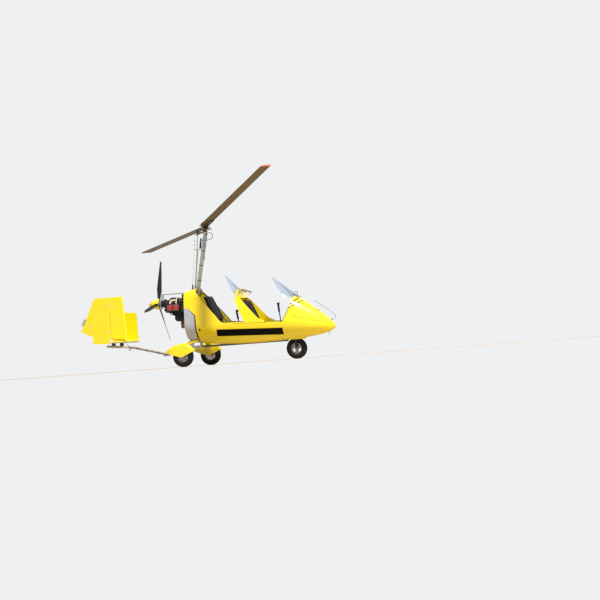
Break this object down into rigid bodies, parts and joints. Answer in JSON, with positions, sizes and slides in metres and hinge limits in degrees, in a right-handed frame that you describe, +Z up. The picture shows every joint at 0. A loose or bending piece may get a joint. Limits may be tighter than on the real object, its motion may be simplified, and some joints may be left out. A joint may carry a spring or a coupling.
{
  "type": "gyrocopter",
  "caption": "Tandem open-cockpit gyrocopter with a teetering two-blade rotor on a raked mast, pusher propeller, three wheels and a fin and rudder on a low tail boom.",
  "frame": {"origin": "on the floor, under the middle of the aircraft's overall box", "axes": "+X points forward, +Y to port, +Z up"},
  "size_m": [5.0644, 6.9467, 3.5498],
  "materials": {
    "yellow_shell": "gloss paint over glass-fibre",
    "silver_panel": "satin silver paint over glass-fibre",
    "black_shell": "matt black moulding",
    "clear_screen": "clear acrylic sheet",
    "seat_shell": "dark moulding",
    "cushion": "black woven cover",
    "steel_light": "stainless steel, satin",
    "steel_bright": "machined steel",
    "boom_paint": "beige-grey paint",
    "black_metal": "satin black paint",
    "bronze_metal": "dark bronze anodised",
    "blade": "dark bronze anodised extrusion",
    "alloy": "as cast",
    "dark_alloy": "dark cast alloy",
    "red_cover": "red gloss paint",
    "silencer_metal": "heat-tinted sheet",
    "prop_black": "black composite",
    "spinner_yellow": "gloss paint",
    "rim_alloy": "cast alloy, satin",
    "tyre_rubber": "black rubber",
    "grey_sheet": "bare sheet"
  },
  "bodies": {
    "airframe": {"fuselage_tub": "yellow_shell", "nose_cowl": "yellow_shell", "instrument_cowl": "yellow_shell", "side_panels": "silver_panel", "firewall": "steel_bright", "rear_bulkhead": "black_shell", "seat_back_fairing": "yellow_shell", "headrest_fairing": "yellow_shell", "front_windshield": "clear_screen", "rear_windshield": "clear_screen", "seat_shells": "seat_shell", "front_cushions": "cushion", "rear_cushions": "cushion", "instrument_panel": "black_shell", "control_sticks": "black_metal", "keel_tube": "steel_light", "frame_block": "steel_light", "tail_boom": "boom_paint", "mast": "steel_light", "mast_head_plates": "steel_bright", "control_rods": "steel_light", "engine_block": "dark_alloy", "engine_cylinders": "alloy", "rocker_covers": "red_cover", "gearbox": "dark_alloy", "carburettors": "black_shell", "radiator": "dark_alloy", "exhaust_silencer": "silencer_metal", "engine_strut": "steel_light", "gear_bow": "yellow_shell", "main_axles": "steel_bright", "fenders": "yellow_shell", "stabiliser": "yellow_shell", "end_fins": "yellow_shell", "centre_fin": "yellow_shell", "tail_brackets": "black_metal", "tie_down_lug": "steel_bright"},
    "nose_gear": {"nose_fork": "black_metal", "nose_axle": "steel_bright"},
    "nose_wheel": {"nose_rim": "rim_alloy", "nose_tyre": "tyre_rubber"},
    "main_wheel_left": {"main_rim_left": "rim_alloy", "main_tyre_left": "tyre_rubber"},
    "main_wheel_right": {"main_rim_right": "rim_alloy", "main_tyre_right": "tyre_rubber"},
    "propeller": {"propeller_hub": "steel_bright", "propeller_blades": "prop_black", "spinner": "spinner_yellow"},
    "rudder": {"rudder": "yellow_shell", "trim_tab": "grey_sheet"},
    "gimbal": {"gimbal_block": "steel_bright"},
    "rotor_head": {"head_bar": "bronze_metal"},
    "rotor_mast": {"rotor_tower": "bronze_metal", "gear_ring": "bronze_metal"},
    "rotor": {"hub_bar": "black_metal", "rotor_blades": "blade"}
  },
  "joints": [
    {"name": "nose_steer", "type": "hinge", "parent": "airframe", "child": "nose_gear", "pos_m": [1.778, 0, 0.5], "axis": [0, 0, 1], "range_deg": [-20, 20]},
    {"name": "nose_wheel_spin", "type": "hinge", "parent": "nose_gear", "child": "nose_wheel", "pos_m": [1.758, 0, 0.2], "axis": [0, 1, 0], "continuous": true},
    {"name": "main_wheel_left_spin", "type": "hinge", "parent": "airframe", "child": "main_wheel_left", "pos_m": [-0.225, 0.845, 0.2], "axis": [0, 1, 0], "continuous": true},
    {"name": "main_wheel_right_spin", "type": "hinge", "parent": "airframe", "child": "main_wheel_right", "pos_m": [-0.225, -0.845, 0.2], "axis": [0, 1, 0], "continuous": true},
    {"name": "propeller_spin", "type": "hinge", "parent": "airframe", "child": "propeller", "pos_m": [-0.921, 0, 1.228], "axis": [1, 0, 0], "continuous": true},
    {"name": "rudder_turn", "type": "hinge", "parent": "airframe", "child": "rudder", "pos_m": [-1.942, 0, 1], "axis": [0, 0, 1], "range_deg": [-25, 25]},
    {"name": "head_pitch", "type": "hinge", "parent": "airframe", "child": "gimbal", "pos_m": [0.11033, 0, 2.48], "axis": [0, -1, 0], "range_deg": [0, 16]},
    {"name": "head_roll", "type": "hinge", "parent": "gimbal", "child": "rotor_head", "pos_m": [0.11033, 0, 2.48], "axis": [1, 0, 0], "range_deg": [-8, 8]},
    {"name": "rotor_spin", "type": "hinge", "parent": "rotor_head", "child": "rotor_mast", "pos_m": [0.114, 0, 2.57], "axis": [0, 0, 1], "continuous": true},
    {"name": "rotor_teeter", "type": "hinge", "parent": "rotor_mast", "child": "rotor", "pos_m": [0.114, 0, 2.685], "axis": [0.8171, 0.5764, 0], "range_deg": [0, 16.7]}
  ],
  "couplings": [
    {"joint": "rudder_turn", "follows": "nose_steer", "ratio": -1.2}
  ]
}
